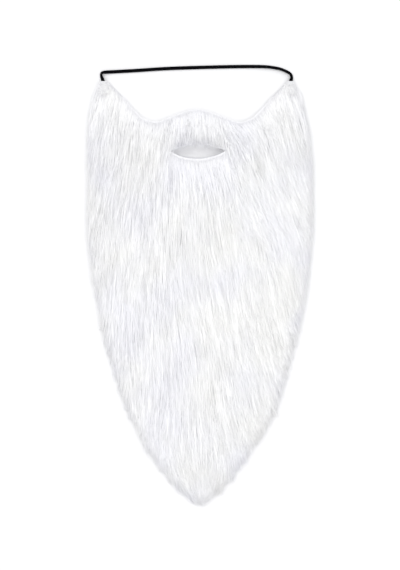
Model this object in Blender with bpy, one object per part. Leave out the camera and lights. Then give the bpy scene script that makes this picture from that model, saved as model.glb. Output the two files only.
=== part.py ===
"""A long white false beard, lying flat with its hair up: knitted ground cloth, deep pile, flat elastic, corner tabs."""

import math
import random

import bmesh
import bpy
import numpy as np
from mathutils import Vector

# Metres. X runs across the beard, Y from its tip up to its top edge, and Z up from the surface it lies on.
# "down" is the distance below the top corners, so Y is TOP - down.
BEARD_LENGTH = 0.466
TOP = BEARD_LENGTH / 2
GAP = 0.0003

CLOTH_THICKNESS = 0.0016
CLOTH_END = 0.421

# The bed is the dense lower pile. Its rows run from PILE_START, just under the tabs, to BED_END.
PILE_BASE = CLOTH_THICKNESS + GAP
PILE_START = 0.0136
BED_END = 0.446
BED_HEIGHT = 0.0085
BED_RIM = 0.0014
BED_SINK = 0.0012
BED_COLUMNS = 22
BED_ROWS = 26
TOP_ROLL = 0.024
TAIL_RUN = 0.090
TAIL_SHARE = 0.35
FLAT_ANGLE = math.radians(0.5)

LOCK_HALF_WIDTH = 0.0090
LOCK_HALF_HEIGHT = 0.0034
LOCK_LENGTH = 0.080
LOCK_SPACING = 0.0200
LOCK_ROW_SPACING = 0.041
LOCK_SIDES = 6
# How high a lock's line lies over the bed, and how deep its root, as shares of its half height.
LOCK_LIFT = 0.45
ROOT_DEPTH = 0.40
ROOT_SETBACK = 0.006
ROW_JITTER = 0.010
LENGTH_RANGE = (0.82, 1.12)
SIZE_RANGE = (0.86, 1.08)
# Past the bed's rim the locks fall at this slope, and past the cloth they sink by TIP_SINK.
RIM_FALL = 0.25
TIP_SINK = 0.0013
TIP_SINK_RUN = 0.012
LOCK_SEED = 7

MOUTH_LEFT = Vector((-0.0336, 0.0780))
MOUTH_RIGHT = Vector((0.0292, 0.0772))
MOUTH_RISE = 0.0085
MOUTH_DROP = 0.0088
CLOTH_MOUTH_EXTRA = 0.0015
CUTTER_LOW = -0.020
CUTTER_HEIGHT = 0.060

STRAP_WIDTH = 0.0040
STRAP_THICKNESS = 0.0010
STRAP_EDGE = 0.00035
STRAP_STEPS = 3

TAB_DEPTH = 0.0130
TAB_THICKNESS = 0.0024
TAB_EDGE = 0.0009
CHANNEL_CLEARANCE = 0.0006
CHANNEL_PAST_END = 0.0008


def table(columns, *rows):
    """A table with named columns, sorted by its first one."""
    return {name: np.array([row[i] for row in rows], float) for i, name in enumerate(columns.split())}


# The outline of the hair at its two sides.
HAIR_SIDES = table(
    "down left right",
    (0.000, -0.1105, 0.1030),
    (0.012, -0.1165, 0.1105),
    (0.030, -0.1203, 0.1140),
    (0.060, -0.1230, 0.1200),
    (0.120, -0.1230, 0.1230),
    (0.185, -0.1215, 0.1215),
    (0.245, -0.1120, 0.1145),
    (0.305, -0.0990, 0.0995),
    (0.365, -0.0780, 0.0815),
    (0.415, -0.0520, 0.0500),
    (0.440, -0.0320, 0.0310),
    (0.458, -0.0140, 0.0140),
    (0.466, -0.0030, 0.0030),
)
# The cut top edge: a scallop over each cheek and a hump under the nose.
TOP_EDGE = table(
    "x down",
    (-0.1018, 0.0000),
    (-0.0814, 0.0209),
    (-0.0649, 0.0396),
    (-0.0495, 0.0449),
    (-0.0286, 0.0380),
    (-0.0033, 0.0306),
    (0.0231, 0.0385),
    (0.0462, 0.0451),
    (0.0616, 0.0377),
    (0.0748, 0.0220),
    (0.0957, 0.0005),
)
# How far the cloth and the bed stop short of the hair's outline.
INSETS = table(
    "down cloth bed",
    (0.000, 0.0000, 0.0020),
    (0.030, 0.0030, 0.0030),
    (0.200, 0.0050, 0.0040),
    (0.330, 0.0110, 0.0070),
    (0.398, 0.0190, 0.0105),
    (0.414, 0.0320, 0.0115),
    (0.421, 0.0465, 0.0120),
    (0.446, 0.0500, 0.0130),
)
# The way the hair is combed, in degrees from straight down towards +X, and where each column is across the width.
COMB = table(
    "down left_edge left middle right right_edge",
    (0.010, -14, -10, 0, 12, 14),
    (0.060, -10, -7, 1, 15, 14),
    (0.110, -10, -9, 5, 18, 20),
    (0.160, -5, -7, 6, 20, 22),
    (0.210, -8, -5, 8, 10, 14),
    (0.260, -1, 0, 8, 14, 18),
    (0.310, 5, 1, 3, 17, 16),
    (0.360, 7, -4, 3, 16, 13),
    (0.395, 9, -1, 6, 17, 6),
    (0.420, 16, 14, 6, 8, -2),
    (0.445, 32, 32, 6, -22, -30),
)
COMB_COLUMNS = {"left_edge": 0.0, "left": 0.2, "middle": 0.5, "right": 0.8, "right_edge": 1.0}
# One lock from its root to its tip: how far along it is, and its size there as a share of its full section.
LOCK_SHAPE = table(
    "along size",
    (0.00, 0.46),
    (0.18, 0.90),
    (0.44, 1.00),
    (0.75, 0.62),
    (1.00, 0.07),
)
# The elastic's route, with its turn about its own line in degrees, from the left tab round to the right tab.
STRAP_ROUTE = table(
    "x y z turn",
    (-0.1052, 0.2228, 0.00245, 0),
    (-0.1059, 0.2300, 0.00245, 0),
    (-0.1070, 0.2342, 0.00215, 8),
    (-0.1084, 0.2378, 0.00195, 40),
    (-0.1089, 0.2404, 0.00210, 48),
    (-0.1077, 0.2424, 0.00195, 34),
    (-0.1040, 0.2431, 0.00140, 12),
    (-0.0935, 0.2437, 0.00085, 0),
    (-0.0682, 0.2451, 0.00085, 0),
    (-0.0330, 0.2473, 0.00085, 0),
    (0.0198, 0.2489, 0.00085, 0),
    (0.0560, 0.2494, 0.00105, 8),
    (0.0740, 0.2489, 0.00165, 24),
    (0.0875, 0.2468, 0.00185, 32),
    (0.0954, 0.2437, 0.00190, 34),
    (0.0996, 0.2410, 0.00195, 38),
    (0.1010, 0.2376, 0.00200, 40),
    (0.1003, 0.2342, 0.00215, 10),
    (0.0994, 0.2300, 0.00245, 0),
    (0.0986, 0.2222, 0.00245, 0),
)
# Each tab's upper and lower edge from left to right, and the route's points under it, its end first.
TABS = {
    "corner_tab_left": {"upper": (-0.1107, -0.1010), "lower": (-0.1112, -0.0985), "strap": (0, 1)},
    "corner_tab_right": {"upper": (0.0950, 0.1038), "lower": (0.0918, 0.1034), "strap": (-1, -2)},
}

MATERIALS = {
    "backing_cloth": {"colour": (0.80, 0.80, 0.82), "roughness": 0.95},
    "fur_pile": {"colour": (0.88, 0.88, 0.90), "roughness": 0.60},
    "elastic_strap": {"colour": (0.012, 0.012, 0.014), "roughness": 0.75},
    "corner_tab": {"colour": (0.84, 0.84, 0.86), "roughness": 0.90},
}


def smooth(keys, values, where):
    """The value at one place, on a smooth curve through the rows."""
    slopes = np.gradient(values, keys)
    i = int(np.clip(np.searchsorted(keys, where) - 1, 0, len(keys) - 2))
    span = keys[i + 1] - keys[i]
    t = float(np.clip((where - keys[i]) / span, 0.0, 1.0))
    start = values[i] * (1 + 2 * t) + slopes[i] * span * t
    end = values[i + 1] * (3 - 2 * t) - slopes[i + 1] * span * (1 - t)
    return float(start * (1 - t) ** 2 + end * t**2)


def read(rows, column, where):
    key = next(iter(rows))
    return smooth(rows[key], rows[column], where)


def side(down, layer=None):
    """The left and right X of the hair at this height, or of the cloth or the bed."""
    inset = read(INSETS, layer, down) if layer else 0.0
    return read(HAIR_SIDES, "left", down) + inset, read(HAIR_SIDES, "right", down) - inset


def clear_scene():
    for obj in list(bpy.data.objects):
        bpy.data.objects.remove(obj)


def make_collection(name):
    collection = bpy.data.collections.new(name)
    bpy.context.scene.collection.children.link(collection)
    return collection


def make_material(name):
    look = MATERIALS[name]
    material = bpy.data.materials.new(name)
    material.use_nodes = True
    shader = material.node_tree.nodes["Principled BSDF"]
    shader.inputs["Base Color"].default_value = (*look["colour"], 1.0)
    shader.inputs["Roughness"].default_value = look["roughness"]
    shader.inputs["Metallic"].default_value = 0.0
    material.diffuse_color = (*look["colour"], 1.0)
    return material


def add_object(name, data, collection):
    obj = bpy.data.objects.new(name, data)
    collection.objects.link(obj)
    return obj


def add_body(name, body, collection):
    """An object from a bmesh, with its faces turned out."""
    bmesh.ops.recalc_face_normals(body, faces=body.faces)
    mesh = bpy.data.meshes.new(name)
    body.to_mesh(mesh)
    body.free()
    return add_object(name, mesh, collection)


def make_guide(obj):
    obj.hide_render = True
    obj.display_type = "WIRE"
    return obj


def add_ring(curve, outline):
    """A closed line through flat points, as a spline of a curve."""
    spline = curve.splines.new("POLY")
    spline.points.add(len(outline) - 1)
    for point, (x, y) in zip(spline.points, outline):
        point.co = (x, y, 0, 1)
    spline.use_cyclic_u = True


def flat_curve(name, outlines, thickness, low, collection):
    """A flat sheet from closed outlines. A second outline inside the first is a hole."""
    curve = bpy.data.curves.new(name, "CURVE")
    curve.dimensions = "2D"
    curve.fill_mode = "BOTH"
    curve.extrude = thickness / 2
    for outline in outlines:
        add_ring(curve, outline)
    obj = add_object(name, curve, collection)
    obj.location.z = low + thickness / 2
    return obj


def section_curve(name, section, collection, guides):
    """An empty curve that sweeps a section, which stays level along it."""
    ring = bpy.data.curves.new(f"{name}_section", "CURVE")
    add_ring(ring, section)
    curve = bpy.data.curves.new(name, "CURVE")
    curve.dimensions = "3D"
    curve.twist_mode = "Z_UP"
    curve.bevel_mode = "OBJECT"
    curve.bevel_object = make_guide(add_object(f"{name}_section", ring, guides))
    curve.use_fill_caps = True
    return add_object(name, curve, collection)


def mesh_from(obj, collection):
    """The same shape as a mesh object with its caps welded, in place of the first object."""
    bpy.context.view_layer.update()
    graph = bpy.context.evaluated_depsgraph_get()
    mesh = bpy.data.meshes.new_from_object(obj.evaluated_get(graph))
    matrix = obj.matrix_world.copy()
    name = obj.name
    bpy.data.objects.remove(obj)
    body = bmesh.new()
    body.from_mesh(mesh)
    bmesh.ops.remove_doubles(body, verts=body.verts, dist=1e-6)
    made = add_body(name, body, collection)
    made.matrix_world = matrix
    return made


def add_boolean(obj, other, operation):
    """A Boolean that allows for locks which cross each other."""
    modifier = obj.modifiers.new(operation.lower(), "BOOLEAN")
    modifier.operation = operation
    modifier.solver = "EXACT"
    modifier.object = other
    modifier.use_self = True


def mouth_outline(extra_rise=0.0, steps=14):
    """The lens-shaped slit, from its left corner along the lower lip and back along the upper one."""
    shares = np.linspace(0.0, 1.0, steps + 1)
    lips = [(share, MOUTH_DROP) for share in shares]
    lips += [(share, -MOUTH_RISE - extra_rise) for share in shares[-2:0:-1]]
    outline = []
    for share, bulge in lips:
        middle = MOUTH_LEFT.lerp(MOUTH_RIGHT, share)
        outline.append((middle.x, TOP - middle.y - bulge * (1 - (2 * share - 1) ** 2)))
    return outline


def cloth_outline(top_steps=40, side_steps=30):
    outline = [(HAIR_SIDES["left"][0], TOP)]
    for x in np.linspace(TOP_EDGE["x"][0], TOP_EDGE["x"][-1], top_steps):
        outline.append((x, TOP - read(TOP_EDGE, "down", x)))
    outline.append((HAIR_SIDES["right"][0], TOP))
    downs = np.linspace(0.0, CLOTH_END, side_steps + 1)[1:]
    outline += [(side(down, "cloth")[1], TOP - down) for down in downs]
    outline += [(side(down, "cloth")[0], TOP - down) for down in reversed(downs)]
    return outline


def make_backing_cloth(collection):
    outlines = [cloth_outline(), mouth_outline(extra_rise=CLOTH_MOUTH_EXTRA)]
    return flat_curve("backing_cloth", outlines, CLOTH_THICKNESS, 0.0, collection)


def scallop(share):
    """How far the pile's first row lies below its ends, across the width."""
    left, right = side(PILE_START, "bed")
    x = left + share * (right - left)
    if not TOP_EDGE["x"][0] < x < TOP_EDGE["x"][-1]:
        return 0.0
    return max(read(TOP_EDGE, "down", x) - PILE_START, 0.0)


def bed_place(share, row):
    """X and down of a place on the bed. The first row follows the top edge, and later rows straighten out."""
    left, right = side(row, "bed")
    fade = (1 - (row - PILE_START) / (BED_END - PILE_START)) ** 3
    return left + share * (right - left), row + scallop(share) * fade


def bed_row(x, down):
    """The share of the width and the row of a place, the reverse of bed_place, held inside the bed."""
    row = down
    for _ in range(6):
        row = float(np.clip(row, PILE_START, BED_END))
        left, right = side(row, "bed")
        share = float(np.clip((x - left) / (right - left), 0.0, 1.0))
        row += down - bed_place(share, row)[1]
    return share, float(np.clip(row, PILE_START, BED_END))


def bed_base(row):
    """The bed's underside lies on the cloth, and past the cloth's end it sinks towards the surface."""
    return PILE_BASE - BED_SINK * float(np.clip((row - CLOTH_END) / (BED_END - CLOTH_END), 0.0, 1.0))


def bed_top(share, row):
    """The bed's upper side: a low roll at the top edge, full in the middle, thin at the sides and the end."""
    across = 1 - abs(2 * share - 1) ** 4
    roll = math.sqrt(min((row - PILE_START) / TOP_ROLL, 1.0))
    tail = TAIL_SHARE + (1 - TAIL_SHARE) * min((BED_END - row) / TAIL_RUN, 1.0)
    return bed_base(row) + BED_RIM + (BED_HEIGHT - BED_RIM) * across * roll * tail


def make_bed(collection):
    """A grid laid over the beard's plan, raised to the pile's height."""
    body = bmesh.new()
    bmesh.ops.create_grid(body, x_segments=BED_COLUMNS, y_segments=BED_ROWS, size=0.5)
    lower = list(body.verts)
    raised = bmesh.ops.extrude_face_region(body, geom=list(body.faces))["geom"]
    upper = {item for item in raised if isinstance(item, bmesh.types.BMVert)}
    for vertex in body.verts:
        share = vertex.co.x + 0.5
        row = PILE_START + (0.5 - vertex.co.y) * (BED_END - PILE_START)
        x, down = bed_place(share, row)
        vertex.co = (x, TOP - down, bed_top(share, row) if vertex in upper else bed_base(row))
    under = [edge for edge in body.edges if not upper.intersection(edge.verts)]
    bmesh.ops.dissolve_limit(body, angle_limit=FLAT_ANGLE, verts=lower, edges=under)
    return add_body("fur_pile", body, collection)


def combed(share, down):
    """The slant of the hair at a place, in radians."""
    slants = [read(COMB, name, down) for name in COMB_COLUMNS]
    return math.radians(np.interp(share, list(COMB_COLUMNS.values()), slants))


def past_cloth(x, down):
    """About how far outside the cloth a place is. Its edge slants, so the way out is shorter than across."""
    left, right = side(min(down, CLOTH_END), "cloth")
    across = max(left - x, x - right, 0.0)
    return math.hypot(0.8 * across, max(down - CLOTH_END, 0.0))


def lock_path(x, down, length, size):
    """Points from root to tip, each with its size. They follow the bed and stay inside the hair's outline."""
    path = []
    last = 0.0
    for along, share_of_size in zip(LOCK_SHAPE["along"], LOCK_SHAPE["size"]):
        slant = combed(bed_row(x, down)[0], down)
        step = (along - last) * length
        last = along
        radius = share_of_size * size
        half_width = LOCK_HALF_WIDTH * radius
        half_height = LOCK_HALF_HEIGHT * radius

        down += math.cos(slant) * step
        left, right = side(down)
        x = min(max(x + math.sin(slant) * step, left + half_width), right - half_width)
        share, row = bed_row(x, down)
        rim_x, rim_down = bed_place(share, row)
        fall = RIM_FALL * math.hypot(x - rim_x, down - rim_down)
        lift = LOCK_LIFT * half_height if path else -ROOT_DEPTH * LOCK_HALF_HEIGHT
        sunk = float(np.clip((past_cloth(x, down) - half_width) / TIP_SINK_RUN, 0.0, 1.0))
        lowest = PILE_BASE + GAP / 2 - TIP_SINK * sunk + half_height
        path.append((x, TOP - down, max(bed_top(share, row) + lift - fall, lowest), radius))
    return path


def lock_roots():
    """Rows of locks from the top edge down, staggered by half a row. Odd rows are set off half a lock, apart from
    their end locks, which keep the outline whole."""
    rng = random.Random(LOCK_SEED)
    roots = []
    for k in range(int((BED_END - PILE_START) / LOCK_ROW_SPACING)):
        odd = k % 2
        row = PILE_START + ROOT_SETBACK + k * LOCK_ROW_SPACING
        left, right = side(row, "bed")
        width = right - left - LOCK_HALF_WIDTH
        count = max(round(width / LOCK_SPACING), 2)
        places = np.arange(odd / 2, count + 0.25)
        if odd:
            places = [0.0, *places, count]
        for j, place in enumerate(places):
            share = 0.5 + (place / count - 0.5) * width / (right - left)
            stagger = LOCK_ROW_SPACING / 2 * (j % 2) + rng.uniform(0.0, ROW_JITTER) if k else 0.0
            x, down = bed_place(share, min(row + stagger, BED_END))
            length = min(LOCK_LENGTH * rng.uniform(*LENGTH_RANGE), BEARD_LENGTH - GAP - down)
            roots.append((x, down, length, rng.uniform(*SIZE_RANGE)))
    return roots


def make_locks(guides):
    """All the locks as one guide: for each a tapered line, with a flat section."""
    section = []
    for i in range(LOCK_SIDES):
        angle = math.tau * i / LOCK_SIDES
        section.append((LOCK_HALF_WIDTH * math.cos(angle), LOCK_HALF_HEIGHT * math.sin(angle)))
    locks = section_curve("locks", section, guides, guides)
    for root in lock_roots():
        path = lock_path(*root)
        spline = locks.data.splines.new("POLY")
        spline.points.add(len(path) - 1)
        for point, (x, y, z, radius) in zip(spline.points, path):
            point.co = (x, y, z, 1)
            point.radius = radius
    return make_guide(mesh_from(locks, guides))


def keep_outer_skin(obj):
    """Keeps the largest skin and drops the small pockets closed in between the locks."""
    body = bmesh.new()
    body.from_mesh(obj.data)
    waiting = set(body.verts)
    outer = set()
    while waiting:
        front = [waiting.pop()]
        skin = set(front)
        while front:
            vertex = front.pop()
            fresh = {edge.other_vert(vertex) for edge in vertex.link_edges} - skin
            skin |= fresh
            front += fresh
        waiting -= skin
        outer = max(outer, skin, key=len)
    inner = [vertex for vertex in body.verts if vertex not in outer]
    bmesh.ops.delete(body, geom=inner, context="VERTS")
    body.to_mesh(obj.data)
    body.free()


def make_fur_pile(collection, guides):
    """The bed and the locks fused into one, with the mouth cut through."""
    pile = make_bed(collection)
    add_boolean(pile, make_locks(guides), "UNION")
    cutter = flat_curve("mouth_cutter", [mouth_outline()], CUTTER_HEIGHT, CUTTER_LOW, guides)
    add_boolean(pile, make_guide(mesh_from(cutter, guides)), "DIFFERENCE")
    pile = mesh_from(pile, collection)
    keep_outer_skin(pile)
    return pile


def make_elastic_strap(collection, guides):
    """A flat band laid on the surface and turned a little at its two bends."""
    half_width = STRAP_WIDTH / 2
    half_height = STRAP_THICKNESS / 2
    corner = [(half_width - STRAP_EDGE, half_height), (half_width, half_height - STRAP_EDGE)]
    section = corner + [(x, -y) for x, y in reversed(corner)]
    section += [(-x, -y) for x, y in section]
    strap = section_curve("elastic_strap", section, collection, guides)

    count = len(STRAP_ROUTE["x"])
    spline = strap.data.splines.new("POLY")
    spline.points.add((count - 1) * STRAP_STEPS)
    for i, point in enumerate(spline.points):
        x, y, z, turn = (smooth(np.arange(count), STRAP_ROUTE[name], i / STRAP_STEPS) for name in STRAP_ROUTE)
        point.co = (x, y, z, 1)
        point.tilt = math.radians(turn)
    return strap


def make_channel(name, guides):
    """A cutter round the strap's end, open at the tab's upper edge and underneath."""
    end, outer = (Vector([STRAP_ROUTE[axis][i] for axis in "xyz"]) for i in TABS[name]["strap"])
    run = outer - end
    reach = 2 * run.length + CHANNEL_PAST_END
    body = bmesh.new()
    bmesh.ops.create_cube(body, size=1.0)
    cutter = make_guide(add_body(f"{name}_channel", body, guides))
    cutter.scale = (
        STRAP_WIDTH + 2 * CHANNEL_CLEARANCE,
        reach,
        STRAP_THICKNESS + 2 * CHANNEL_CLEARANCE + 2 * GAP,
    )
    cutter.rotation_euler.z = math.atan2(run.y, run.x) - math.pi / 2
    cutter.location = end + run.normalized() * (reach / 2 - CHANNEL_PAST_END)
    cutter.location.z -= 2 * GAP
    return cutter


def make_corner_tab(name, collection, guides):
    """A turned-over patch of cloth, stitched down over the strap's end."""
    place = TABS[name]
    base = CLOTH_THICKNESS + GAP
    body = bmesh.new()
    bmesh.ops.create_cube(body, size=1.0)
    for vertex in body.verts:
        ends = place["upper"] if vertex.co.y > 0 else place["lower"]
        x = ends[1] if vertex.co.x > 0 else ends[0]
        y = TOP if vertex.co.y > 0 else TOP - TAB_DEPTH
        vertex.co = (x, y, base + TAB_THICKNESS if vertex.co.z > 0 else base)
    rims = [edge for edge in body.edges if max(vertex.co.z for vertex in edge.verts) > base + GAP]
    bmesh.ops.bevel(body, geom=rims, offset=TAB_EDGE, segments=2, profile=0.5, affect="EDGES")
    tab = add_body(name, body, collection)
    add_boolean(tab, make_channel(name, guides), "DIFFERENCE")
    return tab


def main():
    clear_scene()
    beard = make_collection("fake_beard")
    guides = make_collection("guides")
    pieces = {
        "backing_cloth": make_backing_cloth(beard),
        "fur_pile": make_fur_pile(beard, guides),
        "elastic_strap": make_elastic_strap(beard, guides),
    }
    for name, obj in pieces.items():
        obj.data.materials.append(make_material(name))
    tab_material = make_material("corner_tab")
    for name in TABS:
        make_corner_tab(name, beard, guides).data.materials.append(tab_material)


main()
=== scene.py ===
import math

import bmesh
import bpy
import numpy as np
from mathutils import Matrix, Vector
from mathutils.bvhtree import BVHTree


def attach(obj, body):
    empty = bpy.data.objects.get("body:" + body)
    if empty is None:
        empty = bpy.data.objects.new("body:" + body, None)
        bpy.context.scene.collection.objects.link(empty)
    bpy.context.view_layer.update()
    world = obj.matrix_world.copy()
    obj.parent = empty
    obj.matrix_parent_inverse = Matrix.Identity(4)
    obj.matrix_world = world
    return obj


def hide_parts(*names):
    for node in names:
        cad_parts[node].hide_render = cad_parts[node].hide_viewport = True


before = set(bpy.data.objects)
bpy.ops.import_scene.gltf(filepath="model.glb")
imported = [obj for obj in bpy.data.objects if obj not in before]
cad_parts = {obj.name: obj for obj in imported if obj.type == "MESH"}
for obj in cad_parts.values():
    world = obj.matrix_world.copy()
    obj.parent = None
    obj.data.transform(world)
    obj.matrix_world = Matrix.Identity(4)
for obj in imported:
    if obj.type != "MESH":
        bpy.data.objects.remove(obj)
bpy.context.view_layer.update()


# Camera, floor and light. The beard lies on a pale surface and is seen from straight above.
viewSheet = {
    "lens": 90.0,
    "frameHeight": 0.627,  # what the picture takes in at the height of the hair
    "middle": (0.0, 0.0086),
    "hairHeight": 0.004,
    "floorSize": 6.0,
    "floorTone": (0.86, 0.86, 0.862),
    "worldTone": (0.985, 0.985, 1.0),
    "worldStrength": 0.87,
}
lightSheet = [
    # name, place, size, watts, colour
    ("softboxLeft", (-1.1, 0.9, 1.7), 1.3, 13.0, (1.0, 1.0, 0.99)),
    ("softboxRight", (1.3, 0.1, 1.6), 1.2, 7.0, (0.97, 0.98, 1.0)),
    ("softboxBelow", (0.1, -1.4, 1.5), 1.2, 5.0, (1.0, 1.0, 1.0)),
]


def makeView():
    sheet = viewSheet
    height = sheet["lens"] * sheet["frameHeight"] / 36.0 + sheet["hairHeight"]
    bpy.ops.object.camera_add(location=(*sheet["middle"], height), rotation=(0, 0, 0))
    camera = bpy.context.object
    camera.name = "camera"
    camera.data.sensor_fit = "VERTICAL"
    camera.data.sensor_height = 36.0
    camera.data.lens = sheet["lens"]
    camera.data.clip_start = 0.01
    camera.data.clip_end = 50
    bpy.context.scene.camera = camera

    for name, place, size, watts, colour in lightSheet:
        bpy.ops.object.light_add(type="AREA", location=place)
        light = bpy.context.object
        light.name = name
        light.data.shape = "SQUARE"
        light.data.size = size
        light.data.energy = watts
        light.data.color = colour
        light.rotation_euler = Vector(place).to_track_quat("Z", "Y").to_euler()

    world = bpy.data.worlds.new("studio")
    world.use_nodes = True
    background = world.node_tree.nodes["Background"]
    background.inputs["Color"].default_value = (*sheet["worldTone"], 1)
    background.inputs["Strength"].default_value = sheet["worldStrength"]
    bpy.context.scene.world = world
    bpy.context.scene.view_settings.view_transform = "Standard"
    bpy.context.scene.cycles.max_bounces = 16
    bpy.context.scene.cycles.diffuse_bounces = 12  # light passes many white strands

    bpy.ops.mesh.primitive_plane_add(size=sheet["floorSize"], location=(0, 0, -0.0003))
    floor = bpy.context.object
    floor.name = "floor"
    material = bpy.data.materials.new("paleSurface")
    material.use_nodes = True
    shader = material.node_tree.nodes["Principled BSDF"]
    shader.inputs["Base Color"].default_value = (*sheet["floorTone"], 1)
    shader.inputs["Roughness"].default_value = 0.85
    shader.inputs["Specular IOR Level"].default_value = 0.1
    floor.data.materials.append(material)


makeView()
print("view: camera, floor and lights are up")


# The beard's plan, in metres: x, and the distance down from the two upper corners.
# These are the same values as in the solids.
beardPlan = {
    "top": 0.233,
    "sides": [  # down, left, right
        (0.000, -0.1105, 0.1030), (0.012, -0.1165, 0.1105), (0.030, -0.1203, 0.1140),
        (0.060, -0.1230, 0.1200), (0.120, -0.1230, 0.1230), (0.185, -0.1215, 0.1215),
        (0.245, -0.1120, 0.1145), (0.305, -0.0990, 0.0995), (0.365, -0.0780, 0.0815),
        (0.415, -0.0520, 0.0500), (0.440, -0.0320, 0.0310), (0.458, -0.0140, 0.0140),
        (0.466, -0.0030, 0.0030),
    ],
    "topEdge": [  # x, down
        (-0.1018, 0.0000), (-0.0814, 0.0209), (-0.0649, 0.0396), (-0.0495, 0.0449), (-0.0286, 0.0380),
        (-0.0033, 0.0306), (0.0231, 0.0385), (0.0462, 0.0451), (0.0616, 0.0377), (0.0748, 0.0220),
        (0.0957, 0.0005),
    ],
    "clothInset": [  # down, how far the cloth lies inside the hair's side
        (0.000, 0.0000), (0.030, 0.0030), (0.200, 0.0050), (0.330, 0.0110), (0.398, 0.0190),
        (0.414, 0.0320), (0.421, 0.0465),
    ],
    "clothEnd": 0.421,
    "mouthLeft": (-0.0336, 0.0780),  # x, down
    "mouthRight": (0.0292, 0.0772),
    "mouthRise": 0.0085,
    "mouthDrop": 0.0088,
}
tipDown = beardPlan["sides"][-1][0]


def smoothRead(table, column, at):
    # a smooth curve through one column of a table, held at its ends
    rows = np.asarray(table, float)
    keys, values = rows[:, 0], rows[:, column]
    slopes = np.gradient(values, keys)
    at = np.clip(np.asarray(at, float), keys[0], keys[-1])
    i = np.clip(np.searchsorted(keys, at, side="right") - 1, 0, len(keys) - 2)
    step = keys[i + 1] - keys[i]
    t = (at - keys[i]) / step
    start = (2 * t**3 - 3 * t**2 + 1) * values[i] + (t**3 - 2 * t**2 + t) * step * slopes[i]
    return start + (3 * t**2 - 2 * t**3) * values[i + 1] + (t**3 - t**2) * step * slopes[i + 1]


def hairSides(down):
    return smoothRead(beardPlan["sides"], 1, down), smoothRead(beardPlan["sides"], 2, down)


def beyond(x, down):
    # how far past the outline a place is, and below 0 inside it
    left, right = hairSides(down)
    return np.maximum(np.maximum(x - right, left - x), down - tipDown)


def lowerShare(down):
    # 0 along the upper sides and 1 along the lower, ragged ones
    return np.clip((down - 0.20) / 0.10, 0, 1)


def topEdge(x):
    # how far down the cloth's upper edge lies at this x, and 0 over the two upper corners
    edge = smoothRead(beardPlan["topEdge"], 1, x)
    first, last = beardPlan["topEdge"][0][0], beardPlan["topEdge"][-1][0]
    return np.where((x > first) & (x < last), edge, 0.0)


def inMouth(x, down, wider=0.0, rise=0.0, drop=0.0):
    # above 0 inside the lens-shaped slit, in metres from the nearer lip
    left, right = beardPlan["mouthLeft"], beardPlan["mouthRight"]
    share = (x - left[0] + wider) / (right[0] - left[0] + 2 * wider)
    middle = left[1] + np.clip(share, 0, 1) * (right[1] - left[1])
    bow = 1 - (2 * share - 1) ** 2
    upper = middle - (beardPlan["mouthRise"] + rise) * bow
    lower = middle + (beardPlan["mouthDrop"] + drop) * bow
    return np.where(bow > 0, np.minimum(down - upper, lower - down), -1.0)


def mouthBow(x):
    # how open the slit is at this x, from 0 at its corners to 1 in its middle
    left, right = beardPlan["mouthLeft"][0], beardPlan["mouthRight"][0]
    return np.clip(1 - (2 * (x - left) / (right - left) - 1) ** 2, 0, 1)


# The elastic: a flat ribbed band, laid in a low arch from corner to corner.
elasticSheet = {
    "width": 0.0040,
    "thickness": 0.0010,
    "ribs": 5,
    "ribDepth": 0.00011,
    "rim": 0.35,  # how thick the band is at its two rims, as a share
    "ringStep": 0.0014,
    "length": 0.250,
    "route": [  # x, y, z and the band's turn in degrees, as in the solids
        (-0.1052, 0.2228, 0.00245, 0), (-0.1059, 0.2300, 0.00245, 0), (-0.1070, 0.2342, 0.00215, 8),
        (-0.1084, 0.2378, 0.00195, 40), (-0.1089, 0.2404, 0.00210, 48), (-0.1077, 0.2424, 0.00195, 34),
        (-0.1040, 0.2431, 0.00140, 12), (-0.0935, 0.2437, 0.00085, 0), (-0.0682, 0.2451, 0.00085, 0),
        (-0.0330, 0.2473, 0.00085, 0), (0.0198, 0.2489, 0.00085, 0), (0.0560, 0.2494, 0.00105, 8),
        (0.0740, 0.2489, 0.00165, 24), (0.0875, 0.2468, 0.00185, 32), (0.0954, 0.2437, 0.00190, 34),
        (0.0996, 0.2410, 0.00195, 38), (0.1010, 0.2376, 0.00200, 40), (0.1003, 0.2342, 0.00215, 10),
        (0.0994, 0.2300, 0.00245, 0), (0.0986, 0.2222, 0.00245, 0),
    ],
}


def linked(name, data):
    made = bpy.data.objects.new(name, data)
    bpy.context.scene.collection.objects.link(made)
    return made


def shadeFaces(mesh, smooth):
    mesh.polygons.foreach_set("use_smooth", np.full(len(mesh.polygons), smooth))


def tidyMesh(mesh, merge=0.0):
    # normals turned outwards, and corners that lie together merged where asked for
    body = bmesh.new()
    body.from_mesh(mesh)
    if merge:
        bmesh.ops.remove_doubles(body, verts=body.verts, dist=merge)
    bmesh.ops.recalc_face_normals(body, faces=body.faces)
    body.to_mesh(mesh)
    body.free()


def elasticSection():
    # one turn round the band: ribs along both faces and rounded edges
    sheet = elasticSheet
    halfWidth, halfHeight = sheet["width"] / 2, sheet["thickness"] / 2
    across = np.linspace(1, -1, sheet["ribs"] * 4 + 1)
    rib = np.abs(np.sin(math.pi * sheet["ribs"] * (across + 1) / 2))
    rim = np.sqrt(np.clip(1 - np.abs(across) ** 6, 0, 1))
    height = halfHeight * (sheet["rim"] + (1 - sheet["rim"]) * rim) - sheet["ribDepth"] * (1 - rib) * rim
    upper = [(a * halfWidth * (0.94 + 0.06 * r), h) for a, h, r in zip(across, height, rim)]
    return upper + [(x, -h) for x, h in reversed(upper)]


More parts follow.
